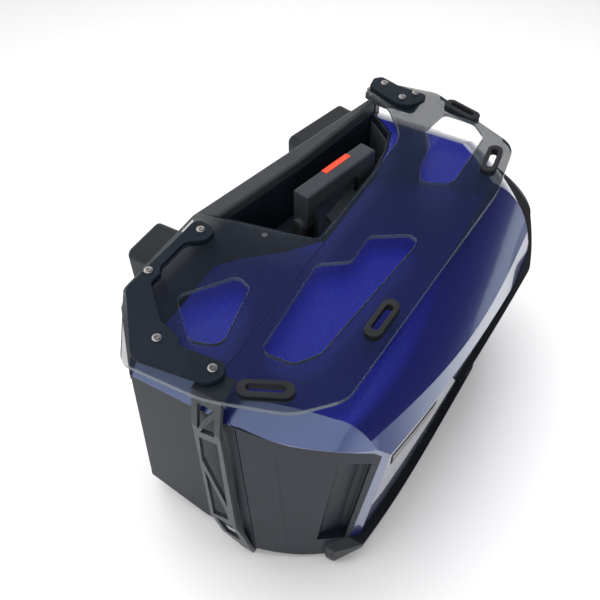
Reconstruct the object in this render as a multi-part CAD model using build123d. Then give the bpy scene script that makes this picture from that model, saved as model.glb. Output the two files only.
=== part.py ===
from build123d import *
import math
import os

# Hard motorcycle saddlebag, left-hand side pattern, with a smoked luggage rack plate on top.
# Working axes: X runs from the front end to the rear, Y from the painted outer face (low)
# to the wheel-side wall (high), Z up from the ground.  All sizes are millimetres.

# ---- overall levels ----
RACK_TOP = 350.0
RACK_THICK = 5.0
DECK_Z = 328.0
BELLY_Z = 10.0
SEAM_Y = 107.0
SEAM_STEP_Z = 308.0
DECK_SEAM_Y = 144.0
SEAM_GAP = 1.0

# ---- shell build-up ----
COVER_THICK = 2.5
SHELL_THICK = 3.0
INNER_INSET = COVER_THICK + SHELL_THICK
BAND_Z = 300.0

# ---- wheel-side wall, slanted in plan ----
WALL_X0 = 204.0
WALL_Y0 = 287.0
WALL_X1 = 520.0
WALL_Y1 = 214.0
SLANT = math.degrees(math.atan2(WALL_Y0 - WALL_Y1, WALL_X1 - WALL_X0))

# ---- handle, its well and the release lever ----
HANDLE_X = 283.0
HANDLE_Y = 192.0
HANDLE_LEN = 120.0
HANDLE_WIDE = 22.0
HANDLE_BAR = 19.0
PIVOT_Z = 304.0
PIVOT_R = 3.0
WELL_FLOOR_Z = 262.0
WELL_WALL = 3.0

# ---- running clearance of every pivot ----
RUN_CLEAR = 0.05

# ---- fasteners ----
SCREW_R = 2.5
SCREW_HEAD_R = 4.7
SCREW_HEAD_H = 2.6

NODES = {}


def keep(name, shape):
    """Register one named piece, cleaned to plain solids."""
    solids = shape.solids()
    NODES[name] = solids[0] if len(solids) == 1 else Compound(children=list(solids))


def prism(points, z0, z1):
    """Upright prism over a plan outline."""
    return extrude(Plane.XY.offset(z0) * make_face(Polyline(*points, close=True)), z1 - z0)


def block(x0, x1, y0, y1, z0, z1):
    """Axis-aligned block between two corners."""
    return Pos((x0 + x1) / 2, (y0 + y1) / 2, (z0 + z1) / 2) * Box(x1 - x0, y1 - y0, z1 - z0)


def rod(start, end, radius):
    """Round bar between two points."""
    a = Vector(*start)
    b = Vector(*end)
    plane = Plane(origin=a, z_dir=(b - a).normalized())
    return extrude(plane * Circle(radius), (b - a).length)


def slant_frame(x, y, z):
    """Frame whose X runs along the slanted wall towards the rear, Y towards the wall."""
    return Location((x, y, z), (0, 0, -SLANT))


# ------------------------------------------------------------------ case envelope

def plan_face(z, front_shift, inset):
    """Outline of the closed case seen from above, drawn at height z."""
    s = front_shift
    lines = [
        Line((12 + s, 107), (12 + s, 226 + 4.5 * s)),
        Line((12 + s, 226 + 4.5 * s), (74 - 3.6 * s, WALL_Y0)),
        Line((74 - 3.6 * s, WALL_Y0), (WALL_X0, WALL_Y0)),
        Line((WALL_X0, WALL_Y0), (WALL_X1, WALL_Y1)),
        Line((WALL_X1, WALL_Y1), (551, 176)),
        Line((551, 176), (556, 107)),
        Line((556, 107), (556, 60)),
        ThreePointArc((556, 60), (533, 8), (483, -24)),
        ThreePointArc((483, -24), (430, -43), (370, -58)),
        ThreePointArc((370, -58), (215, -68), (63 + 6 * s, -27)),
        Line((63 + 6 * s, -27), (57.5 + 6 * s, -18)),
        ThreePointArc((57.5 + 6 * s, -18), (28 + 3 * s, 44), (12 + s, 107)),
    ]
    face = make_face(lines)
    if inset:
        face = offset(face, -inset)
    return Pos(0, 0, z) * face


def side_face(inset):
    """Outline of the case seen from the side, on the XZ plane."""
    lines = [
        Line((-10, 50), (-10, DECK_Z + 8)),
        Line((-10, DECK_Z + 8), (430, DECK_Z + 8)),
        ThreePointArc((430, DECK_Z + 8), (512, 318), (566, 270)),
        Line((566, 270), (566, 120)),
        ThreePointArc((566, 120), (545, 78), (505, 52)),
        Line((505, 52), (430, BELLY_Z)),
        Line((430, BELLY_Z), (44, BELLY_Z)),
        ThreePointArc((44, BELLY_Z), (18, 22), (-10, 50)),
    ]
    face = make_face(lines)
    if inset:
        face = offset(face, -inset)
    return Plane.XZ * face


# Outer-face stations: x, deck edge y, upper crease (y, z), belt crease (y, z), foot y
STATIONS = [
    (-15, 30, 14, 318, -4, 298, 16),
    (62, 26, -9, 317, -24, 296, 3),
    (150, 20, -30, 309, -37, 288, -8),
    (260, 16, -42, 295, -46, 270, -15),
    (370, 16, -42, 286, -50, 250, -20),
    (465, 18, -38, 282, -52, 242, -24),
    (590, 20, -30, 280, -50, 240, -26),
]


def section(station, inset):
    """Cross-section of the case at one station along its length."""
    x, deck_y, y1, z1, y2, z2, foot_y = station
    bend_y = (deck_y + y1) / 2 - 4
    bend_z = (DECK_Z + z1) / 2 + 3
    lines = [
        Line((330, DECK_Z), (deck_y, DECK_Z)),
        ThreePointArc((deck_y, DECK_Z), (bend_y, bend_z), (y1, z1)),
        Line((y1, z1), (y2, z2)),
        Line((y2, z2), (foot_y, 52)),
        Line((foot_y, 52), (foot_y + 32, 0)),
        Line((foot_y + 32, 0), (150, 0)),
        Line((150, 0), (330, 78)),
        Line((330, 78), (330, DECK_Z)),
    ]
    face = make_face(lines)
    if inset:
        face = offset(face, -inset, kind=Kind.INTERSECTION)
    return Pos(x, 0, 0) * (Plane.YZ * face)


# Rounding of the rear outer corner: height, then three points of its arc in plan
CROWN = [
    (200, (592, 95), (566, -12), (470, -82)),
    (250, (575, 98), (535, 8), (442, -50)),
    (290, (562, 98), (503, 22), (420, -40)),
    (315, (540, 106), (484, 33), (406, -32)),
    (330, (512, 118), (462, 50), (388, -14)),
    (342, (486, 124), (436, 64), (362, 4)),
]


def crown_cut(inset):
    """What the rounded rear outer corner leaves away, pulled in by the given amount."""
    faces = []
    for z, start, middle, end in CROWN:
        start = (start[0] - inset, start[1])
        middle = (middle[0] - 0.75 * inset, middle[1] + 0.66 * inset)
        end = (end[0] - 0.5 * inset, end[1] + 0.87 * inset)
        lines = [
            ThreePointArc(start, middle, end),
            Line(end, (200, -150)),
            Line((200, -150), (200, 300)),
            Line((200, 300), (700, 300)),
            Line((700, 300), (700, 130)),
            Line((700, 130), start),
        ]
        faces.append(Pos(0, 0, z - 0.5 * inset) * make_face(lines))
    return block(330, 660, -200, 124, 210, 345) - loft(faces)


# Front band, flattened between the end face and the deck: place at BAND_Z, place at DECK_Z, and the
# way each point moves for every millimetre of inset
BAND = [
    ((68, 290), (88, 290), (0.7, -0.7)),
    ((4, 226), (26, 232), (1.0, -0.4)),
    ((-0.5, 107), (35, 107), (1.0, 0.0)),
    ((28, 44), (52, 48), (0.92, 0.38)),
    ((57.5, -18), (60, -18), (0.87, 0.5)),
    ((63, -27), (64, -27), (0.85, 0.52)),
]


def band_face(share, inset):
    """Outline behind the sloping front band; share runs from 0 at BAND_Z to 1 at DECK_Z."""
    points = []
    for low, high, way in BAND:
        x = low[0] + share * (high[0] - low[0]) + way[0] * inset
        y = low[1] + share * (high[1] - low[1]) + way[1] * inset
        points.append((x, y))
    left, tip = points[0], points[-1]
    lines = [
        Line(left, points[1]),
        Line(points[1], points[2]),
        ThreePointArc(*points[2:5]),
        Line(points[4], tip),
        Line(tip, (tip[0], -150)),
        Line((tip[0], -150), (300, -150)),
        Line((300, -150), (300, 330)),
        Line((300, 330), (left[0], 330)),
        Line((left[0], 330), left),
    ]
    return Pos(0, 0, BAND_Z + share * (DECK_Z - BAND_Z) - 0.4 * inset) * make_face(lines)


def cut_front(body, inset):
    """Slope the front band back from the end face to the deck."""
    behind = loft([band_face(-0.3, inset), band_face(1.5, inset)], ruled=True)
    cut = body - (block(-30, 120, -100, 310, BAND_Z - 6, DECK_Z + 10) - behind)
    return cut.solids().sort_by(lambda piece: -piece.volume)[0]


def envelope(inset):
    """Closed outer body of the case, pulled in by the given amount; a negative one pushes it out."""
    plan = loft([plan_face(-20, 8.5, inset), plan_face(RACK_TOP + 10, -1, inset)], ruled=True)
    side = extrude(side_face(inset), 400, both=True)
    across = loft([section(s, inset) for s in STATIONS])
    body = (across & plan & side).solids()[0]
    body = (body - crown_cut(inset)).solids().sort_by(lambda piece: -piece.volume)[0]
    return cut_front(body, inset)


def tilted_prism(points, z0, z1):
    """Upright prism that leans with the front end face; points are x, y and share of the lean."""
    faces = []
    for z in (z0, z1):
        lean = 8.5 - 9.5 * (z + 20) / (RACK_TOP + 30)
        outline = [(x + share * lean, y) for x, y, share in points]
        faces.append(Pos(0, 0, z) * make_face(Polyline(*outline, close=True)))
    return loft(faces, ruled=True)


def along_x(points, x0, x1):
    """Prism along X over an outline of (y, z) points."""
    return extrude(Plane.YZ.offset(x0) * make_face(Polyline(*points, close=True)), x1 - x0)


def along_y(points, y0, y1):
    """Prism along Y over an outline of (x, z) points."""
    face = Plane.XZ.offset(-y0) * make_face(Polyline(*points, close=True))
    return extrude(face, -(y1 - y0))


# ------------------------------------------------------------------ how the case divides

WING = [(381, 100), (384, 145.5), (431.5, 151.6), (466.5, 163), (497.5, 200), (502, 203), (620, 203),
        (620, 100)]
WING_Z = 314.0
WELL = [(229, 255), (345, 228.4), (494, 203), (463, 166), (430, 156), (384, 150), (247, 151),
        (242, 181), (233, 229)]


def seam_side(side, shift):
    """Everything on one side of the seam; side is -1 for the lid and +1 for the base."""
    far = 400 * side
    low = SEAM_Y + shift
    high = DECK_SEAM_Y + shift
    outline = [(low, -60), (low, SEAM_STEP_Z), (high, DECK_Z + 1), (high, 400), (far, 400), (far, -60)]
    return along_x(outline, -80, 640)


def wing_zone(grow, z0):
    """Deck-level tongue of the lid that reaches round behind the handle well."""
    face = make_face(Polyline(*WING, close=True))
    if grow:
        face = offset(face, grow)
    return extrude(Pos(0, 0, z0) * face, 400 - z0)


def well_prism(grow, z0, z1):
    """Handle well over its plan outline, grown sideways for its walls."""
    face = make_face(Polyline(*WELL, close=True))
    if grow:
        face = offset(face, grow)
    return extrude(Pos(0, 0, z0) * face, z1 - z0)


def lid_front_black():
    """Part of the lid's front end face that stays bare textured plastic."""
    face = along_x([(140, -60), (140, 311), (104, 311), (58, 301.5), (-12, 300), (-18, 292), (9, 52),
                    (10, -60)], -40, 90)
    strip = tilted_prism([(-40, 140, 1), (30, 140, 1), (30, 105, 1), (36, 75, 2), (47, 42, 3), (66, 8, 5),
                          (88, -26, 6), (-40, -26, 1)], -20, 330)
    return face & strip


def base_paint_zone():
    """Painted part of the base: front half of the deck and the band round the front end."""
    zone = prism([(-40, 60), (-40, 224), (100, 224), (158, 227), (183, 207), (215, 170), (247, 146),
                  (247, 60)], SEAM_STEP_Z + 2, 400)
    return zone


def interior_clip():
    """Keeps the hollow away from the thick front corner."""
    return tilted_prism([(27, 320, 1), (27, 107, 1), (34, 78, 1.8), (47, 42, 3), (70, 4, 5), (78, -30, 6),
                         (78, -120, 6), (640, -120, 1), (640, 320, 1)], -20, 355)


def build_case():
    """Split the hollow envelope into lid and base, each a black shell with a painted cover."""
    outer = envelope(0.0)
    under = envelope(COVER_THICK)
    hollow = envelope(INNER_INSET) & interior_clip()

    # lid half
    gap = SEAM_GAP / 2
    lid_zone = seam_side(-1, -gap)
    bare = lid_front_black()
    belly = block(-50, 640, -200, 300, -10, 46)
    skin = outer - under
    wing = wing_zone(0, WING_Z)
    shelled = under - hollow
    black = (shelled & lid_zone) + (shelled & wing)
    black = black + (skin & lid_zone & bare) + (skin & lid_zone & belly)
    scoop_low = rounded([(34, 13, 1), (72, 13, 2), (81, 16, 2), (77, 25, 6), (58, 40, 5), (34, 40, 1)])
    scoop_high = rounded([(24, -10, 1), (60, -10, 2), (69, -7, 2), (65, 2, 6), (46, 17, 5), (24, 17, 1)])
    scoop = loft([Pos(0, 0, 62) * scoop_low, Pos(0, 0, 276) * scoop_high], ruled=True)
    keep("lid_shell", black - scoop)
    paint = skin & (lid_zone + wing)
    paint = paint - bare - belly
    keep("lid_cover", paint - (badge_zone(2.5) & (envelope(-1.0) - envelope(1.4))))

    # base half
    base_solid = (outer & seam_side(1, gap)) - wing_zone(1.0, WING_Z - 1.5)
    pocket = tilted_prism([(-40, 121, 1), (12, 121, 1), (16, 123.5, 1), (20, 129, 1), (20, 300, 1),
                           (-40, 300, 1)], -20, 303)
    base_solid = base_solid - pocket
    shelf = wing_zone(3.0, WING_Z - 5.0) - wing_zone(3.5, WING_Z - 1.5)
    shelf = shelf & outer & seam_side(1, gap)
    tub = well_prism(WELL_WALL, WELL_FLOOR_Z - WELL_WALL, 400) & outer & seam_side(1, gap)
    tub = tub - wing_zone(1.0, WING_Z - 1.5)
    shell = (base_solid - hollow) + shelf + tub
    shell = shell - well_prism(0, WELL_FLOOR_Z, 400)
    paint = ((base_solid - under) & base_paint_zone()) - well_prism(WELL_WALL, 200, 400)
    shell = shell - paint

    # rim seal in its groove, all round the seam
    ring = (envelope(1.5) - envelope(4.2)) & seam_side(1, gap) & seam_side(-1, gap + 2.6)
    ring = ring - wing_zone(3.0, WING_Z - 8) - well_prism(WELL_WALL, 200, 400)
    seal_parts = [piece for piece in ring.solids() if piece.volume > 400]
    seal = Compound(children=seal_parts)
    for piece in seal_parts:
        shell = shell - piece
        paint = paint - piece
    keep("base_shell", shell)
    keep("base_top_cover", paint)
    keep("rim_seal", seal)
    return outer


def badge_zone(grow):
    """Slanted parallelogram on the lid's lower facet, near the front."""
    g = grow
    outline = [(72 - g, 284 + g), (153 + g, 272 + g), (161 + g, 247 - g), (80 - g, 256 - g)]
    return along_y(outline, -120, 20)


def build_lid_trim(outer):
    """Badge plate, lower bumper and upper rub strip, all following the lid's surface."""
    keep("badge_plate", badge_zone(0) & (envelope(-0.6) - envelope(1.4)))
    lid_zone = seam_side(-1, -6)
    proud = envelope(-10.0) - outer
    front = along_y([(60, -5), (54, 20), (54, 44), (72, 60), (360, 56), (408, 40), (414, 22), (404, -5)],
                    -200, 30)
    keep("lower_bumper_strip", max((proud & front & lid_zone).solids(), key=lambda piece: piece.volume))
    strip = along_y([(226, 219), (300, 217), (380, 224), (600, 240), (600, 266), (430, 254), (320, 233)],
                    -200, 60)
    band = (envelope(-7.0) - outer) & strip & lid_zone
    keep("upper_rub_strip", max(band.solids(), key=lambda piece: piece.volume))


# ------------------------------------------------------------------ fasteners

def button_screw(x, y, z, length, head_r=SCREW_HEAD_R, shank_r=SCREW_R):
    """Button-head screw with a hexagon socket, head seat at z, pointing down."""
    head = Pos(x, y, z) * extrude(Circle(head_r), SCREW_HEAD_H)
    head = fillet(head.edges().sort_by(Axis.Z)[-1], SCREW_HEAD_H * 0.62)
    shank = Pos(x, y, z - length) * extrude(Circle(shank_r), length)
    socket = Pos(x, y, z + SCREW_HEAD_H - 1.4) * extrude(RegularPolygon(1.75, 6), 2)
    return head + shank - socket


FRONT_SCREWS = [(176, 253), (101, 264), (36, 204), (33, 140)]
REAR_SCREWS = [(528, 204), (509, 170), (527, 159)]
CORNER_PLATE_T = 4.0


def rounded(points):
    """Closed outline from (x, y, corner radius) triples."""
    return make_face(FilletPolyline(*[(x, y) for x, y, _ in points], radius=[r for _, _, r in points],
                                    close=True))


RACK_OUTLINE = [(72, 274, 14), (0, 219, 18), (4, 132, 90), (29, 57, 60), (66, 22, 24), (395, 1, 120),
                (486, 12, 36), (547, 137, 22), (540, 188, 14), (513, 227, 6), (486, 178, 50),
                (438, 139, 60), (350, 137, 60), (230, 138, 12), (217, 182, 40), (200, 277, 9)]
HOLE_FRONT = [(91, 223, 10), (142, 185, 9), (135, 166, 8), (62, 150, 12), (51, 180, 14)]
HOLE_MIDDLE = [(74, 116, 9), (196, 124, 10), (217, 95, 9), (260, 95, 10), (288, 50, 9), (264, 48, 12),
               (98, 66, 16), (76, 82, 12)]
HOLE_REAR = [(463, 118, 12), (511, 111, 8), (509, 72, 16), (488, 51, 14), (384, 51, 14), (368, 84, 10),
             (396, 95, 30), (436, 100, 30)]
SLOTS = [(40, 89, -64.5), (163, 35, -3), (448, 27, 6), (526, 94, 72)]
SLOT_LEN = 52.0
SLOT_WIDE = 18.0
OPEN_LEN = 36.0
OPEN_WIDE = 8.0


def build_rack():
    """Smoked rack plate with hand holes, strap slots, corner plates, grommets and screws."""
    z0 = RACK_TOP - RACK_THICK
    face = rounded(RACK_OUTLINE)
    for hole in (HOLE_FRONT, HOLE_MIDDLE, HOLE_REAR):
        face = face - rounded(hole)
    plate = extrude(Pos(0, 0, z0) * face, RACK_THICK)
    grommets = []
    for x, y, turn in SLOTS:
        place = Pos(x, y, 0) * Rot(0, 0, turn)
        hole = place * Pos(0, 0, z0 - 5) * extrude(SlotOverall(SLOT_LEN - 6, SLOT_WIDE - 6), 20)
        plate = plate - hole
        body = place * Pos(0, 0, z0) * extrude(SlotOverall(SLOT_LEN - 6, SLOT_WIDE - 6), RACK_THICK)
        top = place * Pos(0, 0, RACK_TOP) * extrude(SlotOverall(SLOT_LEN, SLOT_WIDE), 2.2)
        low = place * Pos(0, 0, z0 - 1.8) * extrude(SlotOverall(SLOT_LEN, SLOT_WIDE), 1.8)
        top = fillet(top.edges().group_by(Axis.Z)[-1], 1.4)
        cut = place * Pos(0, 0, z0 - 5) * extrude(SlotOverall(OPEN_LEN, OPEN_WIDE), 20)
        grommets.append((body + top + low) - cut)
    for x, y in FRONT_SCREWS + REAR_SCREWS:
        plate = plate - Pos(x, y, z0 - 5) * extrude(Circle(SCREW_R + 0.3), 20)
    plate = fillet(plate.edges().group_by(Axis.Z)[-1].filter_by(lambda e: e.length > 3), 0.8)
    keep("rack_plate", plate)
    keep("slot_grommets", Compound(children=[g.solids()[0] for g in grommets]))


FRONT_PLATE = [(190, 267, 9), (185, 238, 10), (166, 240, 8), (153, 257, 12), (112, 258, 10),
               (104, 252, 6), (90, 253, 8), (55, 214, 8), (48, 188, 9), (40, 182, 8), (44, 133, 8),
               (30, 126, 10), (17, 137, 10), (7, 212, 16), (72, 270, 14)]
REAR_PLATE = [(514, 219, 4), (533, 222, 5), (542, 214, 6), (533, 186, 12), (531, 146, 7), (518, 142, 7),
              (498, 155, 8), (494, 170, 12)]
REAR_RAIL = [(508, 222, 3), (528, 222, 5), (524, 196, 8), (510, 178, 6), (497, 186, 5), (500, 200, 8)]


def build_rack_metal(outer):
    """Corner plates on top of the rack, brackets and standoffs under it, and their screws."""
    for name, outline, screws in (("front_corner_plate", FRONT_PLATE, FRONT_SCREWS),
                                  ("rear_corner_plate", REAR_PLATE, REAR_SCREWS)):
        plate = extrude(Pos(0, 0, RACK_TOP) * rounded(outline), CORNER_PLATE_T)
        plate = fillet(plate.edges().group_by(Axis.Z)[-1], 0.8)
        for x, y in screws:
            plate = plate - Pos(x, y, RACK_TOP - 1) * extrude(Circle(SCREW_R + 0.3), 10)
        keep(name, plate)

    seat = RACK_TOP + CORNER_PLATE_T
    front = [button_screw(x, y, seat, 18).solids()[0] for x, y in FRONT_SCREWS]
    rear_set = [button_screw(x, y, seat, 13.5).solids()[0] for x, y in REAR_SCREWS]
    z_under = RACK_TOP - RACK_THICK
    posts = []
    for x, y in FRONT_SCREWS[:2]:
        post = Pos(x, y, DECK_Z) * extrude(Circle(15), z_under - DECK_Z)
        neck = Pos(x, y, DECK_Z + 5) * extrude(Circle(20) - Circle(13.5), 7)
        posts.append(post - neck)
    rail = extrude(Pos(0, 0, z_under - 7) * rounded(REAR_RAIL), 7)
    foot = prism([(509, 205.5), (522, 205.5), (522, 214), (509, 217)], DECK_Z - 20, z_under - 3) - outer
    pad = block(500, 536, 150, 200, z_under - 5, z_under) & extrude(Pos(0, 0, 300) * rounded(REAR_PLATE), 60)
    rear = rail + foot + pad
    for screw in rear_set:
        rear = rear - screw
    keep("rear_rack_bracket", max(rear.solids(), key=lambda piece: piece.volume))
    keep("rack_standoffs", Compound(children=[(post - screw).solids()[0]
                                              for post, screw in zip(posts, front)]))
    keep("rack_screws", Compound(children=front + rear_set))


# ------------------------------------------------------------------ end struts

STRUT_T = 4.5


def strip(points, thick):
    """Bent flat strip seen edge-on: straight legs with rounded knees."""
    shape = None
    for (x0, z0), (x1, z1) in zip(points, points[1:]):
        length = math.hypot(x1 - x0, z1 - z0)
        turn = math.degrees(math.atan2(z1 - z0, x1 - x0))
        leg = Pos((x0 + x1) / 2, (z0 + z1) / 2) * Rot(0, 0, turn) * Rectangle(length, thick)
        shape = leg if shape is None else shape + leg
    for x, z in points[1:-1]:
        shape = shape + Pos(x, z) * Circle(thick / 2)
    return shape


def build_struts():
    """Cut-out strap that ties the rack's front end to the belly."""
    path = [(38, 342.5), (14, 342.5), (3.5, 300), (8.5, 88), (16, 24), (20, 6.5), (62, 6.5)]
    profile = extrude(Plane.XZ * strip(path, STRUT_T), 400, both=True)
    outline = [(118, 346), (150, 346), (148, 290), (156, 92), (148, 40), (128, 24), (128, -5), (110, -5),
               (110, 24), (114, 60), (121, 90), (117, 290)]
    windows = [
        [(124, 330), (143, 330), (142, 296), (136, 312)],
        [(124, 320), (134, 305), (140, 292), (123, 296)],
        [(122, 284), (143, 280), (147, 232), (127, 140)],
        [(147, 208), (151, 96), (130, 102), (130, 120)],
        [(126, 88), (149, 88), (142, 46), (122, 44)],
    ]
    face = along_x(outline, -20, 90)
    for window in windows:
        face = face - along_x(window, -20, 24)
    strut = (profile & face).solids()
    strut = max(strut, key=lambda piece: piece.volume)
    strut = strut - Pos(33, 140, 330) * extrude(Circle(SCREW_R + 0.05), 30)
    keep("front_strut", strut)

    clamp = block(44, 60, 112, 126, 8.75, BELLY_Z)
    keep("strut_pad", clamp)
    head = Pos(53, 119, 0.8) * extrude(Circle(4), 3.45)
    keep("strut_screw", fillet(head.edges().group_by(Axis.Z)[0], 1.0))


# ------------------------------------------------------------------ wheel-side fittings

def build_wall_side():
    """Rail along the wheel-side edge of the well, and carrier blocks with their sockets."""
    rail = prism([(204, 286), (506, 216.2), (504, 206), (345, 229.6), (216, 259)], DECK_Z - 4,
                 DECK_Z + 12)
    rail = fillet(rail.edges().filter_by(lambda e: e.length > 100 and e.center().Z > DECK_Z + 11), 4)
    keep("wall_rail", rail)

    front = block(138, 199, WALL_Y0, WALL_Y0 + 46, 236, 316)
    front = fillet(front.edges().filter_by(Axis.Y), 9)
    front = fillet(front.edges().group_by(Axis.Y)[-1], 5)
    front = front - rod((168, WALL_Y0 + 16, 270), (168, WALL_Y0 + 60, 270), 8)
    keep("front_carrier_block", front)

    rear = slant_frame(400, WALL_Y0 - (400 - WALL_X0) * math.tan(math.radians(SLANT)), 0)
    body = block(0, 108, 0, 45, 232, 314)
    body = fillet(body.edges().filter_by(Axis.Y), 9)
    body = fillet(body.edges().group_by(Axis.Y)[-1], 5)
    body = body - rod((54, 15, 270), (54, 60, 270), 8)
    keep("rear_carrier_block", rear * body)


# ------------------------------------------------------------------ handle

def in_handle_frame(shape):
    """Place a piece drawn with X along the handle, Y towards the wall and true Z."""
    return slant_frame(HANDLE_X, HANDLE_Y, 0) * shape


def build_handle():
    """Folding carry handle, its marker, the pivot pins and the lugs that hold them."""
    half = HANDLE_WIDE / 2
    top = RACK_TOP
    side = [(0, top), (HANDLE_LEN, top), (HANDLE_LEN, PIVOT_Z - 10), (99, PIVOT_Z - 10),
            (99, PIVOT_Z + 8), (84, top - HANDLE_BAR), (14, top - HANDLE_BAR), (14, PIVOT_Z - 10),
            (0, PIVOT_Z - 10)]
    body = along_y(side, -half, half)
    body = fillet(body.edges().filter_by(lambda e: e.center().Z > top - 1), 2.5)
    knee = rod((-1, 0, PIVOT_Z), (HANDLE_LEN + 1, 0, PIVOT_Z), 10)
    low = block(-1, HANDLE_LEN + 1, -half - 1, half + 1, PIVOT_Z - 12, PIVOT_Z)
    body = body - (low - knee)
    body = body - block(-1, HANDLE_LEN + 1, -half - 1, -half + 1, PIVOT_Z - 12, PIVOT_Z + 14)
    body = body - rod((-5, 0, PIVOT_Z), (HANDLE_LEN + 5, 0, PIVOT_Z), PIVOT_R + RUN_CLEAR)
    marker = block(46, 90, 2.5, 10, top - 2, top + 0.4)
    body = body - block(46, 90, 2.5, 10, top - 2, top + 3)
    keep("carry_handle", in_handle_frame(body.solids()[0]))
    keep("red_marker", in_handle_frame(marker))

    lugs = []
    for u0, u1 in ((-7.5, -0.5), (14.5, 20), (91.5, 97.0), (HANDLE_LEN + 0.5, HANDLE_LEN + 7)):
        lug = block(u0, u1, -9, 9, WELL_FLOOR_Z, PIVOT_Z) + rod((u0, 0, PIVOT_Z), (u1, 0, PIVOT_Z), 9)
        if u0 > 60:
            lug = lug - block(u0 - 1, u1 + 1, -10, -4, WELL_FLOOR_Z - 1, PIVOT_Z + 12)
        lugs.append(lug)
    near = rod((-7.5, 0, PIVOT_Z), (20, 0, PIVOT_Z), PIVOT_R)
    far = rod((91.5, 0, PIVOT_Z), (HANDLE_LEN + 7, 0, PIVOT_Z), PIVOT_R)
    lugs = [(lug - near - far).solids()[0] for lug in lugs]
    keep("handle_lugs", in_handle_frame(Compound(children=lugs)))
    keep("handle_pins", in_handle_frame(Compound(children=[near, far])))


# ------------------------------------------------------------------ release lever and latches

SHAFT_Y = 158.0
SHAFT_Z = 282.0
SHAFT_R = 3.0
SHAFT_X0 = 188.0
SHAFT_X1 = 380.0
HOOK_X = (196.0, 216.0)
STRIKER_Y = 122.0
STRIKER_Z = 299.0


def build_release():
    """Sprung release paddle on a shaft that carries the latch hooks under the deck edge."""
    keep("latch_shaft", rod((SHAFT_X0, SHAFT_Y, SHAFT_Z), (SHAFT_X1, SHAFT_Y, SHAFT_Z), SHAFT_R))
    paddle = along_x([(153.5, 298), (155.5, 294.5), (171.5, 307), (170, 310.5)], 304, 366)
    arms = None
    for x in (306, 358):
        arm = along_x([(154.5, SHAFT_Z), (161.5, SHAFT_Z), (163, 301), (154.5, 296.5)], x, x + 6)
        arm = arm + rod((x, SHAFT_Y, SHAFT_Z), (x + 6, SHAFT_Y, SHAFT_Z), 6)
        arms = arm if arms is None else arms + arm
    lever = paddle + arms
    lever = lever - rod((300, SHAFT_Y, SHAFT_Z), (380, SHAFT_Y, SHAFT_Z), SHAFT_R)
    keep("release_lever", lever)

    hooks = []
    for x in HOOK_X:
        arm = along_x([(152, SHAFT_Z - 3), (162, SHAFT_Z - 3), (160, 303), (152, 308)], x, x + 6)
        arm = arm + rod((x, SHAFT_Y, SHAFT_Z), (x + 6, SHAFT_Y, SHAFT_Z), 7)
        arm = arm - rod((x - 5, SHAFT_Y, SHAFT_Z), (x + 15, SHAFT_Y, SHAFT_Z), SHAFT_R)
        hooks.append(arm.solids()[0])
        hooks.append(along_x([(119, 303.5), (152, 303.5), (152, 308), (119, 308)], x, x + 6).solids()[0])
    keep("latch_hooks", Compound(children=hooks))

    x0 = min(HOOK_X) - 6
    x1 = max(HOOK_X) + 12
    striker = [rod((x0 + 4, STRIKER_Y, STRIKER_Z), (x1 - 4, STRIKER_Y, STRIKER_Z), 2.5).solids()[0]]
    for x in (x0, x1 - 4):
        leg = block(x, x + 4, STRIKER_Y - 4, STRIKER_Y + 4, STRIKER_Z - 3, DECK_Z - INNER_INSET)
        striker.append(leg.solids()[0])
    keep("latch_striker", Compound(children=striker))

    bearings = []
    for x in (190.0, 224.0):
        plate = block(x, x + 4, SHAFT_Y - 7, SHAFT_Y + 7, SHAFT_Z - 8, SHAFT_Z + 8)
        plate = plate + block(x, x + 4, SHAFT_Y + 7, SHAFT_Y + 14, SHAFT_Z - 8, DECK_Z - INNER_INSET)
        bearings.append((plate - rod((x - 1, SHAFT_Y, SHAFT_Z), (x + 5, SHAFT_Y, SHAFT_Z),
                                     SHAFT_R + RUN_CLEAR)).solids()[0])
    keep("latch_bearings", Compound(children=bearings))


# ------------------------------------------------------------------ lock

LOCK_X = 424.0
LOCK_Y = 184.0


def build_lock():
    """Key cylinder in a housing on the well floor, with its cam under the floor."""
    top = WELL_FLOOR_Z + 18
    housing = Pos(LOCK_X, LOCK_Y, WELL_FLOOR_Z) * extrude(Circle(13), 18)
    housing = fillet(housing.edges().group_by(Axis.Z)[-1], 2)
    housing = housing - Pos(LOCK_X, LOCK_Y, WELL_FLOOR_Z - 1) * extrude(Circle(9.05), 30)
    keep("lock_housing", housing)
    barrel = Pos(LOCK_X, LOCK_Y, WELL_FLOOR_Z - 8) * extrude(Circle(9), 8 + 18)
    slot = Pos(LOCK_X, LOCK_Y, top) * Box(8, 1.4, 10)
    keep("lock_cylinder", barrel - slot)
    cam = Pos(LOCK_X + 8, LOCK_Y, WELL_FLOOR_Z - 12) * extrude(SlotOverall(34, 16), 4)
    keep("lock_cam", cam)


# ------------------------------------------------------------------ lid hinge and feet

HINGE_AXIS_Z = 5.2
HINGE_KNUCKLE_R = 4.5
HINGE_BORE_R = 2.0
HINGE_PIN = HINGE_BORE_R - RUN_CLEAR
HINGE_CENTRES = (120.0, 370.0)
LEAF_T = 2.0


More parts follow.
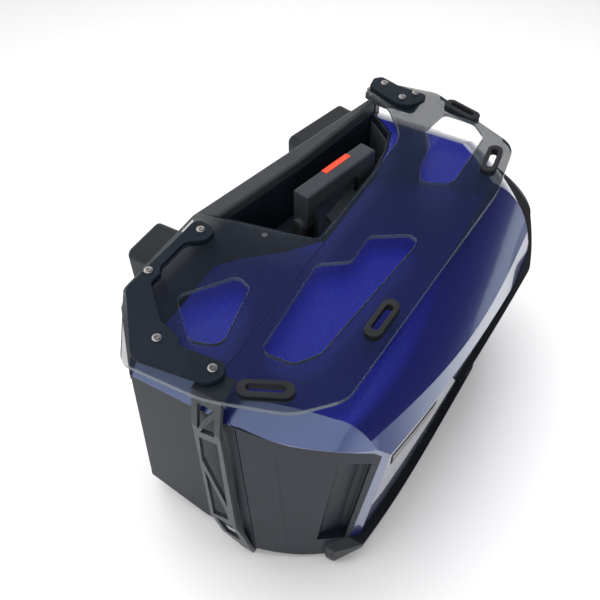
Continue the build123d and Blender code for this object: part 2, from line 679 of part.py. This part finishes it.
def build_hinge():
    """Two butt hinges under the belly, on the seam line."""
    leaves = {"base": [], "lid": []}
    pins = []
    screws = {"base": [], "lid": []}
    for cx in HINGE_CENTRES:
        bore = rod((cx - 40, SEAM_Y, HINGE_AXIS_Z), (cx + 40, SEAM_Y, HINGE_AXIS_Z), HINGE_BORE_R)
        for name, sign, spans in (("base", 1, ((-30, -10), (10, 30))), ("lid", -1, ((-9.6, 9.6),))):
            y0, y1 = sorted((SEAM_Y + sign * 6.5, SEAM_Y + sign * 24))
            leaf = block(cx - 30, cx + 30, y0, y1, BELLY_Z - LEAF_T, BELLY_Z)
            for a, b in spans:
                y0, y1 = sorted((SEAM_Y + sign * 1.5, SEAM_Y + sign * 7))
                leaf = leaf + block(cx + a, cx + b, y0, y1, BELLY_Z - LEAF_T, BELLY_Z - 0.4)
                leaf = leaf + rod((cx + a, SEAM_Y, HINGE_AXIS_Z), (cx + b, SEAM_Y, HINGE_AXIS_Z),
                                  HINGE_KNUCKLE_R)
            leaf = (leaf - bore).solids()[0]
            for dx in (-20, 20):
                y = SEAM_Y + sign * 16
                head = Pos(cx + dx, y, BELLY_Z - LEAF_T - 1.6) * extrude(Circle(3.6), 1.6)
                head = fillet(head.edges().group_by(Axis.Z)[0], 0.9)
                screws[name].append(head)
            leaves[name].append(leaf)
        pins.append(rod((cx - 31, SEAM_Y, HINGE_AXIS_Z), (cx + 31, SEAM_Y, HINGE_AXIS_Z), HINGE_PIN))
    for name in ("base", "lid"):
        keep(name + "_hinge_leaves", Compound(children=leaves[name]))
        keep(name + "_hinge_screws", Compound(children=screws[name]))
    keep("hinge_pins", Compound(children=pins))


def build_feet(outer):
    """Rubber feet under the wheel-side half, level with the bumper strip's underside."""
    feet = []
    for x, y in ((110, 250), (365, 205)):
        foot = block(x - 32, x + 32, y - 13, y + 13, 0, 60)
        foot = fillet(foot.edges().filter_by(Axis.Z), 10)
        feet.append((fillet(foot.edges().group_by(Axis.Z)[0], 2) - outer).solids().sort_by(Axis.Z)[0])
    keep("base_feet", Compound(children=feet))


def build_small_parts():
    """The deck screw beside the handle well."""
    screw = Pos(225, 205, DECK_Z) * extrude(Circle(3.4), 1.0)
    keep("deck_screw", fillet(screw.edges().group_by(Axis.Z)[-1], 0.6))


def finish_fits():
    """Add the lever's lug to the well and cut shell and bracket for the parts they meet."""
    shell = NODES["base_shell"]
    shell = shell + block(375.5, 381, 148.5, SHAFT_Y + 7, SHAFT_Z - 10, SHAFT_Z + 8)
    shell = shell - rod((SHAFT_X0 - 2, SHAFT_Y, SHAFT_Z), (SHAFT_X1 + 2, SHAFT_Y, SHAFT_Z),
                        SHAFT_R + RUN_CLEAR)
    shell = shell - Pos(LOCK_X, LOCK_Y, WELL_FLOOR_Z - 10) * extrude(Circle(9.3), 20)
    keep("base_shell", shell - NODES["wall_rail"])
    keep("rear_rack_bracket", NODES["rear_rack_bracket"] - NODES["wall_rail"])


def export_all():
    """Move every piece so that the origin is the bottom centre of the whole, then write them."""
    boxes = [shape.bounding_box() for shape in NODES.values()]
    low = Vector(*(min(getattr(b.min, axis) for b in boxes) for axis in "XYZ"))
    high = Vector(*(max(getattr(b.max, axis) for b in boxes) for axis in "XYZ"))
    shift = Vector(-(low.X + high.X) / 2, -(low.Y + high.Y) / 2, -low.Z)
    os.makedirs("parts", exist_ok=True)
    for name, shape in NODES.items():
        export_step(shape.moved(Location(shift)), "parts/" + name + ".step")
    print("origin shift", round(shift.X, 4), round(shift.Y, 4), round(shift.Z, 4))
    print("size", round(high.X - low.X, 2), round(high.Y - low.Y, 2), round(high.Z - low.Z, 2))


outer = build_case()
build_lid_trim(outer)
build_rack()
build_rack_metal(outer)
build_struts()
build_wall_side()
build_handle()
build_release()
build_lock()
build_hinge()
build_feet(outer)
build_small_parts()
finish_fits()
export_all()
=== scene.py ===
import math

import bmesh
import bpy
from mathutils import Matrix, Vector
from mathutils.bvhtree import BVHTree


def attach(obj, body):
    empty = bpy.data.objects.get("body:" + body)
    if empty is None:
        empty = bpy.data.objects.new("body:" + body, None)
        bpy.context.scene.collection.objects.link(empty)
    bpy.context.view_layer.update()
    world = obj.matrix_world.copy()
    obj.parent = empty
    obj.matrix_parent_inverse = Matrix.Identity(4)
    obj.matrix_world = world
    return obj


# Looks for a hard motorcycle saddlebag.  Everything is in metres in the CAD frame: +X to the rear
# end, -Y to the painted outer face, +Z up.  plan() takes the CAD source's own drawing axes, in
# millimetres, to that frame, and the sizes below named in millimetres are in those axes.

MM = 0.001
PLAN_SHIFT = (-281.6335, -137.5642, 0.0)

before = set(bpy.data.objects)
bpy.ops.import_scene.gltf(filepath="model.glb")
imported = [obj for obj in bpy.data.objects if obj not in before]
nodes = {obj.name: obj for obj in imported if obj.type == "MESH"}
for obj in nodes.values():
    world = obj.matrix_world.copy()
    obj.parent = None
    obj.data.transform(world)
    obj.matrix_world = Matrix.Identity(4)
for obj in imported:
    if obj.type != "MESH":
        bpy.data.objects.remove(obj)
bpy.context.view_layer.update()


def plan(x, y, z):
    """A point of the CAD drawing, in millimetres, as a place in the frame."""
    return Vector((x + PLAN_SHIFT[0], y + PLAN_SHIFT[1], z + PLAN_SHIFT[2])) * MM


# ------------------------------------------------------------------ node helpers

# Sockets of a colour mix node
MIX_SHARE, MIX_FIRST, MIX_SECOND, MIX_RESULT = 0, 6, 7, 2


class Nodes:
    """Short calls for one material's or world's node tree."""

    def __init__(self, owner):
        owner.use_nodes = True
        self.tree = owner.node_tree
        self.tree.nodes.clear()

    def add(self, kind, **settings):
        """Add a node; a setting is one of its attributes or, if it has none such, an input."""
        node = self.tree.nodes.new(kind)
        for key, value in settings.items():
            if hasattr(node, key):
                setattr(node, key, value)
            else:
                node.inputs[key.replace("_", " ")].default_value = value
        return node

    def link(self, source, target):
        self.tree.links.new(source, target)

    def math(self, operation, a, b=None):
        node = self.add("ShaderNodeMath", operation=operation)
        for slot, value in enumerate((a, b)):
            if value is None:
                continue
            if isinstance(value, (int, float)):
                node.inputs[slot].default_value = value
            else:
                self.link(value, node.inputs[slot])
        return node.outputs[0]

    def ramp(self, source, stops):
        node = self.add("ShaderNodeValToRGB")
        elements = node.color_ramp.elements
        while len(elements) < len(stops):
            elements.new(0.5)
        for element, (place, colour) in zip(elements, stops):
            element.position = place
            element.color = (*colour, 1.0)
        self.link(source, node.inputs[0])
        return node.outputs[0]

    def mix(self, share, first, second):
        node = self.add("ShaderNodeMix", data_type="RGBA")
        for socket, value in ((MIX_SHARE, share), (MIX_FIRST, first), (MIX_SECOND, second)):
            self.link(value, node.inputs[socket])
        return node.outputs[MIX_RESULT]

    def coordinates(self):
        return self.add("ShaderNodeTexCoord").outputs["Object"]

    def axes_of(self, vector):
        """The three parts of a vector socket."""
        node = self.add("ShaderNodeSeparateXYZ")
        self.link(vector, node.inputs[0])
        return node.outputs

    def noise(self, scale, detail=2.0, roughness=0.5, vector=None):
        node = self.add("ShaderNodeTexNoise", Scale=scale, Detail=detail, Roughness=roughness)
        self.link(vector or self.coordinates(), node.inputs["Vector"])
        return node.outputs[0]

    def bump(self, height, strength, distance):
        node = self.add("ShaderNodeBump", Strength=strength, Distance=distance)
        self.link(height, node.inputs["Height"])
        return node.outputs[0]

    def spread(self, source, low, high):
        """Map a 0 to 1 pattern onto a range of values."""
        node = self.add("ShaderNodeMapRange", To_Min=low, To_Max=high)
        self.link(source, node.inputs["Value"])
        return node.outputs[0]

    def surface(self, **values):
        shader = self.add("ShaderNodeBsdfPrincipled", **values)
        self.link(shader.outputs[0], self.add("ShaderNodeOutputMaterial").inputs[0])
        return shader


def grey(value):
    return (value, value, value)


def new_material(name):
    material = bpy.data.materials.new(name)
    return material, Nodes(material)


# ------------------------------------------------------------------ materials

FLAKE_SCALE = 2600.0
# strength and depth of a bump
FLAKE_TILT = (0.10, 0.00006)
ORANGE_PEEL = (0.03, 0.0002)
ORANGE_PEEL_SCALE = 420.0
DEEP_BLUE = [(0.0, (0.0046, 0.0062, 0.058)), (0.6, (0.0055, 0.0072, 0.070)), (1.0, (0.0080, 0.0110, 0.092))]
# painted light: the lighter, more vivid blue laid on faces turned to the sky
PAINTED_SKYLIGHT_TONES = [(0.0, (0.0080, 0.0105, 0.145)), (0.6, (0.0095, 0.0125, 0.170)), (1.0, (0.0130, 0.0180, 0.215))]
# upward part of the normal where the painted skylight tone starts, and where it is full
PAINTED_SKYLIGHT_RISE = (0.945, 0.997)
BLUE_GLOSS = (0.42, 0.62, 1.0, 1.0)


def blue_paint():
    """Deep blue paint with fine flake under a clear coat; faces turned to the sky get a painted lighter,
    more vivid blue that stands in for light falling from above.
    """
    material, tree = new_material("blue_metallic_paint")
    shader = tree.surface(Roughness=0.27, IOR=1.8, Specular_IOR_Level=0.95, Specular_Tint=BLUE_GLOSS,
                          Coat_Weight=1.0, Coat_Roughness=0.02, Coat_IOR=1.5)
    flake = tree.add("ShaderNodeTexVoronoi", Scale=FLAKE_SCALE)
    tree.link(tree.coordinates(), flake.inputs["Vector"])
    split = tree.add("ShaderNodeSeparateColor")
    tree.link(flake.outputs["Color"], split.inputs[0])
    upward = tree.axes_of(tree.add("ShaderNodeNewGeometry").outputs["Normal"])[2]
    # painted light: blend towards the lighter blue where the face turns up to the sky
    painted_skylight_share = tree.ramp(upward, [(PAINTED_SKYLIGHT_RISE[0], grey(0.0)), (PAINTED_SKYLIGHT_RISE[1], grey(1.0))])
    deep = tree.ramp(split.outputs[0], DEEP_BLUE)
    painted_skylight_blue = tree.ramp(split.outputs[0], PAINTED_SKYLIGHT_TONES)
    tree.link(tree.mix(painted_skylight_share, deep, painted_skylight_blue), shader.inputs["Base Color"])
    tree.link(tree.bump(split.outputs[1], *FLAKE_TILT), shader.inputs["Normal"])
    tree.link(tree.bump(tree.noise(ORANGE_PEEL_SCALE, 1.0), *ORANGE_PEEL), shader.inputs["Coat Normal"])
    return material


COOL_GLOSS = (0.78, 0.89, 1.0, 1.0)
# scale, detail and roughness of the cloudy tone, and where its dark and light tones lie
CLOUD = (26.0, 4.0, 0.6)
CLOUD_STOPS = (0.3, 0.72)
# detail and roughness of the grain
GRAIN = (3.0, 0.65)
GRAIN_STRENGTH = 0.5
GLOSS_BELOW = 0.06
GLOSS_ABOVE = 0.08
PLASTIC_COAT_ROUGHNESS = 0.25


def moulded(name, dark, light, roughness, grain_size, grain_depth, coat=0.0, gloss=0.32):
    """Moulded plastic or rubber with a fine grain, slightly uneven in colour and gloss."""
    material, tree = new_material(name)
    shader = tree.surface(Specular_IOR_Level=gloss, Specular_Tint=COOL_GLOSS, Coat_Weight=coat,
                          Coat_Roughness=PLASTIC_COAT_ROUGHNESS)
    tone = tree.ramp(tree.noise(*CLOUD), list(zip(CLOUD_STOPS, (dark, light))))
    tree.link(tone, shader.inputs["Base Color"])
    grain = tree.noise(1.0 / grain_size, *GRAIN)
    dullness = tree.spread(grain, roughness - GLOSS_BELOW, roughness + GLOSS_ABOVE)
    tree.link(dullness, shader.inputs["Roughness"])
    tree.link(tree.bump(grain, GRAIN_STRENGTH, grain_depth), shader.inputs["Normal"])
    return material


# upright part of the normal, on a cut edge and on a broad face
EDGE_TO_FACE = (0.35, 0.8)
HAZE_SCALE = 9.0
FACE_ALPHA = 0.31
EDGE_ALPHA = 0.62
GLANCE_ALPHA = 0.4


def smoked_sheet():
    """Polished smoke-tinted clear sheet, denser and duller on its cut edges, which also carry a painted
    glow: a lighter tint standing in for light caught in the edges.
    """
    material, tree = new_material("smoked_clear_sheet")
    shader = tree.surface(Roughness=0.03, IOR=3.0, Coat_Roughness=0.01)
    level = tree.axes_of(tree.add("ShaderNodeNewGeometry").outputs["True Normal"])[2]
    flat = tree.math("ABSOLUTE", level)

    def by_face(on_edge, on_face):
        return tree.ramp(flat, list(zip(EDGE_TO_FACE, (on_edge, on_face))))

    # painted light: the lighter edge tints stand in for light caught in the cut edges
    dark_tint_and_edge_glow = by_face((0.06, 0.08, 0.09), (0.004, 0.012, 0.018))
    light_tint_and_edge_glow = by_face((0.10, 0.13, 0.15), (0.006, 0.015, 0.022))
    tree.link(tree.mix(tree.noise(HAZE_SCALE), dark_tint_and_edge_glow, light_tint_and_edge_glow), shader.inputs["Base Color"])
    tree.link(by_face(grey(0.10), grey(0.5)), shader.inputs["Specular IOR Level"])
    tree.link(by_face(grey(0.25), grey(1.0)), shader.inputs["Coat Weight"])
    facing = tree.add("ShaderNodeLayerWeight", Blend=0.22)
    glance = tree.math("MULTIPLY", facing.outputs["Fresnel"], GLANCE_ALPHA)
    total = tree.math("ADD", by_face(grey(EDGE_ALPHA), grey(FACE_ALPHA)), glance)
    total.node.use_clamp = True
    tree.link(total, shader.inputs["Alpha"])
    return material


SHADOW_SHARE = 0.78
SCRATCH_STRETCH = (1.0, 0.06, 0.5)
SCRATCH_STOPS = (0.25, 0.7)
SCRATCH_DETAIL = 4.0
SCRATCH_BUMP = (0.15, 0.0001)
SCRATCH_DULLING = 0.15


def worked_metal(name, colour, roughness, scratch_scale):
    """Turned or brushed metal: fine directional scratches over a slightly uneven tone."""
    material, tree = new_material(name)
    shader = tree.surface(Metallic=1.0)
    mapping = tree.add("ShaderNodeMapping", Scale=[scratch_scale * share for share in SCRATCH_STRETCH])
    tree.link(tree.coordinates(), mapping.inputs["Vector"])
    scratch = tree.noise(1.0, SCRATCH_DETAIL, vector=mapping.outputs[0])
    dark = tuple(SHADOW_SHARE * part for part in colour)
    tone = tree.ramp(scratch, list(zip(SCRATCH_STOPS, (dark, colour))))
    tree.link(tone, shader.inputs["Base Color"])
    tree.link(tree.spread(scratch, roughness, roughness + SCRATCH_DULLING), shader.inputs["Roughness"])
    tree.link(tree.bump(scratch, *SCRATCH_BUMP), shader.inputs["Normal"])
    return material


TAB_TONES = [(0.3, (0.62, 0.035, 0.012)), (0.7, (0.80, 0.060, 0.020))]
TAB_BUMP = (0.2, 0.0001)


def red_tab():
    """Glossy red-orange moulded tab."""
    material, tree = new_material("red_orange_tab")
    shader = tree.surface(Roughness=0.38, Coat_Weight=0.3, Coat_Roughness=0.2)
    tree.link(tree.ramp(tree.noise(160.0, 3.0), TAB_TONES), shader.inputs["Base Color"])
    tree.link(tree.bump(tree.noise(1500.0), *TAB_BUMP), shader.inputs["Normal"])
    return material


PAINT = blue_paint()
# name, dark tone, light tone, roughness, grain size, grain depth
CASE_BLACK = moulded("textured_case_black", (0.007, 0.009, 0.014), (0.010, 0.013, 0.020),
                     0.50, 0.0009, 0.00022, gloss=0.26)
TRIM_BLACK = moulded("satin_trim_black", (0.010, 0.011, 0.012), (0.015, 0.016, 0.018),
                     0.46, 0.0007, 0.00012)
HANDLE_BLACK = moulded("handle_black", (0.022, 0.025, 0.029), (0.031, 0.035, 0.040),
                       0.50, 0.0006, 0.00018, gloss=0.5)
PLATE_BLACK = moulded("corner_plate_black", (0.005, 0.008, 0.012), (0.008, 0.012, 0.018),
                      0.55, 0.0007, 0.0002, gloss=0.2)
RAIL_BLACK = moulded("rail_black", (0.026, 0.028, 0.030), (0.036, 0.038, 0.041),
                     0.42, 0.0008, 0.00012)
COATED_STEEL = moulded("powder_coated_steel", (0.030, 0.033, 0.037), (0.042, 0.046, 0.052),
                       0.45, 0.0005, 0.00012, coat=0.15)
RUBBER = moulded("black_rubber", (0.012, 0.012, 0.013), (0.020, 0.020, 0.022),
                 0.62, 0.0012, 0.00015)
BADGE_BLACK = moulded("badge_black", (0.014, 0.015, 0.017), (0.020, 0.022, 0.025),
                      0.30, 0.0006, 0.00006, coat=0.3)
SHEET = smoked_sheet()
STAINLESS = worked_metal("stainless", (0.66, 0.65, 0.63), 0.24, 900.0)
ZINC = worked_metal("zinc_plated_steel", (0.42, 0.42, 0.43), 0.34, 500.0)
CHROME = worked_metal("lock_chrome", (0.72, 0.72, 0.73), 0.12, 700.0)
RED = red_tab()

NODES_BY_MATERIAL = [
    (PAINT, ("lid_cover", "base_top_cover")),
    (CASE_BLACK, ("lid_shell", "base_shell")),
    (TRIM_BLACK, ("lower_bumper_strip", "upper_rub_strip", "front_carrier_block",
                  "rear_carrier_block", "lock_housing")),
    (HANDLE_BLACK, ("carry_handle", "handle_lugs", "release_lever")),
    (PLATE_BLACK, ("front_corner_plate", "rear_corner_plate")),
    (RAIL_BLACK, ("wall_rail",)),
    (COATED_STEEL, ("rear_rack_bracket", "front_strut")),
    (RUBBER, ("rim_seal", "slot_grommets", "rack_standoffs", "strut_pad", "base_feet")),
    (BADGE_BLACK, ("badge_plate",)),
    (SHEET, ("rack_plate",)),
    (STAINLESS, ("rack_screws", "strut_screw", "handle_pins", "latch_shaft", "base_hinge_screws",
                 "lid_hinge_screws", "hinge_pins", "deck_screw")),
    (ZINC, ("latch_hooks", "latch_striker", "latch_bearings", "lock_cam", "base_hinge_leaves",
            "lid_hinge_leaves")),
    (CHROME, ("lock_cylinder",)),
    (RED, ("red_marker",)),
]


def dress_nodes():
    """Give each CAD node its material."""
    for material, names in NODES_BY_MATERIAL:
        for name in names:
            mesh = nodes[name].data
            mesh.materials.clear()
            mesh.materials.append(material)


# ------------------------------------------------------------------ extra pieces

def mesh_object(name, build, material):
    """Make a mesh object from a bmesh-building function."""
    work = bmesh.new()
    build(work)
    bmesh.ops.recalc_face_normals(work, faces=work.faces)
    mesh = bpy.data.meshes.new(name)
    work.to_mesh(mesh)
    work.free()
    piece = bpy.data.objects.new(name, mesh)
    bpy.context.scene.collection.objects.link(piece)
    mesh.materials.append(material)
    return piece


SKIN_THICKNESS = 0.2
INWARDS = -1


def moulded_skin(name, columns, material, body):
    """Thin smooth skin through columns of points, riding on a CAD body."""

    def build(work):
        rails = [[work.verts.new(place) for place in column] for column in columns]
        for left, right in zip(rails, rails[1:]):
            for j in range(len(left) - 1):
                work.faces.new((left[j], right[j], right[j + 1], left[j + 1]))

    piece = mesh_object(name, build, material)
    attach(piece, body)
    for face in piece.data.polygons:
        face.use_smooth = True
    shell = piece.modifiers.new("thickness", "SOLIDIFY")
    shell.thickness = SKIN_THICKNESS * MM
    shell.offset = INWARDS


def walk(points, step):
    """Even steps along a polyline: (place, direction) pairs."""
    result = []
    for a, b in zip(points, points[1:]):
        a, b = Vector(a), Vector(b)
        count = max(1, round((b - a).length / step))
        for i in range(count):
            result.append((a.lerp(b, i / count), (b - a).normalized()))
    result.append((Vector(points[-1]), (Vector(points[-1]) - Vector(points[-2])).normalized()))
    return result


WELL_REAR_WALL = [(420, 155.6), (430, 157.2), (447, 161.6), (462.2, 167.4), (478, 185.6), (491.0, 201.2)]
RIB_PITCH = 3.6
RIB_HEIGHT = 1.1
RIB_FLOOR = 0.25
RIB_STEPS = 6
RIB_ROUNDNESS = 0.7
RIB_END_SHARE = 0.2
# height on the wall, share of the rib's height there
RIB_LEVELS = [(264.0, RIB_END_SHARE), (266.0, 1.0), (300.0, 1.0), (317.0, 1.0), (318.5, RIB_END_SHARE)]


def well_ribs():
    """Fluted liner on the curved rear wall of the handle well."""
    columns = []
    for i, (place, direction) in enumerate(walk(WELL_REAR_WALL, RIB_PITCH / RIB_STEPS)):
        inwards = Vector((-direction.y, direction.x))
        wave = 0.5 - 0.5 * math.cos(2 * math.pi * i / RIB_STEPS)
        rise = inwards * (RIB_FLOOR + RIB_HEIGHT * wave ** RIB_ROUNDNESS)
        columns.append([plan(*(place + rise * share), z) for z, share in RIB_LEVELS])
    moulded_skin("well_rib_liner", columns, HANDLE_BLACK, "case")


RIDGE_Y = 74.0
RIDGE_LOW = 36.0
RIDGE_HIGH = 289.0
RIDGE_STEPS = 24
RIDGE_EASE = 3
RIDGE_SINK = 0.2
# way across the ridge, its height there
RIDGE_PROFILE = [(-4.4, -RIDGE_SINK), (-2.6, 0.4), (0.0, 0.7), (2.6, 0.4), (4.4, -RIDGE_SINK)]
RIDGE_CAST_X = -60.0


def front_ridge():
    """Low moulded ridge down the lid's black front end face, fading out at both ends."""
    lid = nodes["lid_shell"].data
    face = BVHTree.FromPolygons([v.co for v in lid.vertices], [tuple(p.vertices) for p in lid.polygons])
    rearwards = Vector((1.0, 0.0, 0.0))
    columns = []
    for across, height in RIDGE_PROFILE:
        column = []
        for i in range(RIDGE_STEPS + 1):
            z = RIDGE_LOW + (RIDGE_HIGH - RIDGE_LOW) * i / RIDGE_STEPS
            ease = min(1.0, min(i, RIDGE_STEPS - i) / RIDGE_EASE)
            place = face.ray_cast(plan(RIDGE_CAST_X, RIDGE_Y + across, z), rearwards)[0]
            column.append(place - rearwards * ((height + RIDGE_SINK) * ease - RIDGE_SINK) * MM)
        columns.append(column)
    moulded_skin("front_face_ridge", columns, CASE_BLACK, "lid")


# ------------------------------------------------------------------ stage

FLOOR_HALF = 6.0
FLOOR_TONES = [(0.3, grey(0.88)), (0.7, grey(0.90))]


def build_floor():
    """Pale seamless floor."""
    material, tree = new_material("floor_white")
    shader = tree.surface(Roughness=0.55, Specular_IOR_Level=0.3)
    tree.link(tree.ramp(tree.noise(3.0, 3.0), FLOOR_TONES), shader.inputs["Base Color"])

    def build(work):
        corners = ((-1, -1), (1, -1), (1, 1), (-1, 1))
        work.faces.new([work.verts.new((x * FLOOR_HALF, y * FLOOR_HALF, 0.0)) for x, y in corners])

    mesh_object("floor", build, material)


WALL_LEAN_X = 0.3
WALL_LEAN_Y = 0.4
WORLD_TONES = [(0.0, grey(1.0)), (0.625, grey(0.95)), (0.665, (0.060, 0.046, 0.064)),
               (1.0, (0.035, 0.028, 0.040))]
WORLD_STRENGTH = 1.15


def build_world():
    """White walls, higher towards the front end and the wheel side, under a dark ceiling."""
    world = bpy.data.worlds.new("studio")
    bpy.context.scene.world = world
    tree = Nodes(world)
    x, y, z = tree.axes_of(tree.add("ShaderNodeTexCoord").outputs["Generated"])
    lean = tree.math("ADD", z, tree.math("MULTIPLY", x, WALL_LEAN_X))
    lean = tree.math("SUBTRACT", lean, tree.math("MULTIPLY", y, WALL_LEAN_Y))
    background = tree.add("ShaderNodeBackground", Strength=WORLD_STRENGTH)
    tree.link(tree.ramp(lean, WORLD_TONES), background.inputs["Color"])
    tree.link(background.outputs[0], tree.add("ShaderNodeOutputWorld").inputs[0])


LIGHT_TARGET = Vector((0.0, 0.0, 0.2))
# name, place, side, power
LIGHTS = [("overhead", (0.1, 0.1, 1.9), 1.6, 42.0), ("window", (-1.5, -0.9, 1.2), 0.9, 9.0)]


def build_light(name, place, side, power):
    """Square soft light aimed at the case, left out of reflections."""
    data = bpy.data.lights.new(name, "AREA")
    data.shape = "SQUARE"
    data.size = side
    data.energy = power
    light = bpy.data.objects.new(name, data)
    light.location = place
    light.rotation_euler = (LIGHT_TARGET - Vector(place)).to_track_quat("-Z", "Y").to_euler()
    light.visible_glossy = False
    bpy.context.scene.collection.objects.link(light)


CAMERA_PLACE = (-244.0, -110.3, 860.4)
CAMERA_AZIMUTH = -59.98
CAMERA_ELEVATION = 48.66
CAMERA_ROLL = -0.47
CAMERA_LENS = 42.0
SENSOR_WIDTH = 36.0


def build_camera():
    """Camera above the front end, looking down along the case."""
    azimuth, elevation, roll = map(math.radians, (CAMERA_AZIMUTH, CAMERA_ELEVATION, CAMERA_ROLL))
    level = Vector((math.sin(azimuth), -math.cos(azimuth), 0.0))
    back = level * math.cos(elevation) + Vector((0.0, 0.0, math.sin(elevation)))
    right = Vector((math.cos(azimuth), math.sin(azimuth), 0.0))
    up = back.cross(right)
    turned_right = right * math.cos(roll) + up * math.sin(roll)
    turned_up = up * math.cos(roll) - right * math.sin(roll)
    data = bpy.data.cameras.new("camera")
    data.lens = CAMERA_LENS
    data.sensor_width = SENSOR_WIDTH
    camera = bpy.data.objects.new("camera", data)
    axes = Matrix((turned_right, turned_up, back)).transposed().to_4x4()
    camera.matrix_world = Matrix.Translation(plan(*CAMERA_PLACE)) @ axes
    bpy.context.scene.collection.objects.link(camera)
    bpy.context.scene.camera = camera


def build_stage():
    """Floor, studio light and camera."""
    build_floor()
    build_world()
    for name, place, side, power in LIGHTS:
        build_light(name, place, side, power)
    build_camera()
    bpy.context.scene.view_settings.view_transform = "Standard"


dress_nodes()
well_ribs()
front_ridge()
build_stage()
